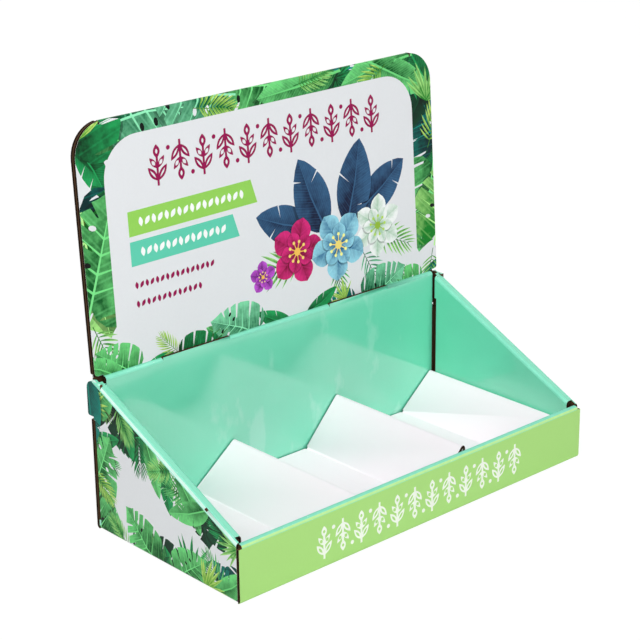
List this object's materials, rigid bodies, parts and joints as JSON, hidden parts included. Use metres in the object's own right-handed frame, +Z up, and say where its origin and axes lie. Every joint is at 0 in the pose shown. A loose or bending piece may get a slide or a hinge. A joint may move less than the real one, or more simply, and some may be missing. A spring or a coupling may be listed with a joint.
{
  "type": "cardboard counter display stand",
  "caption": "Folded cardboard counter display tray with sloping rolled sides, a tall leaning header and a loose insert of ramps that hold packs at a slant.",
  "frame": {"origin": "middle of the tray's underside, on the table", "axes": "+X along the front to the right, +Y from the front towards the header, +Z up"},
  "size_m": [0.22, 0.1089, 0.1894],
  "materials": {
    "printed_board": "printed corrugated board, half gloss, brown inside and at the cut edges",
    "white_board": "white corrugated board, smooth"
  },
  "bodies": {
    "root": {"display_tray": "printed_board", "ramp_insert": "white_board"}
  },
  "joints": []
}
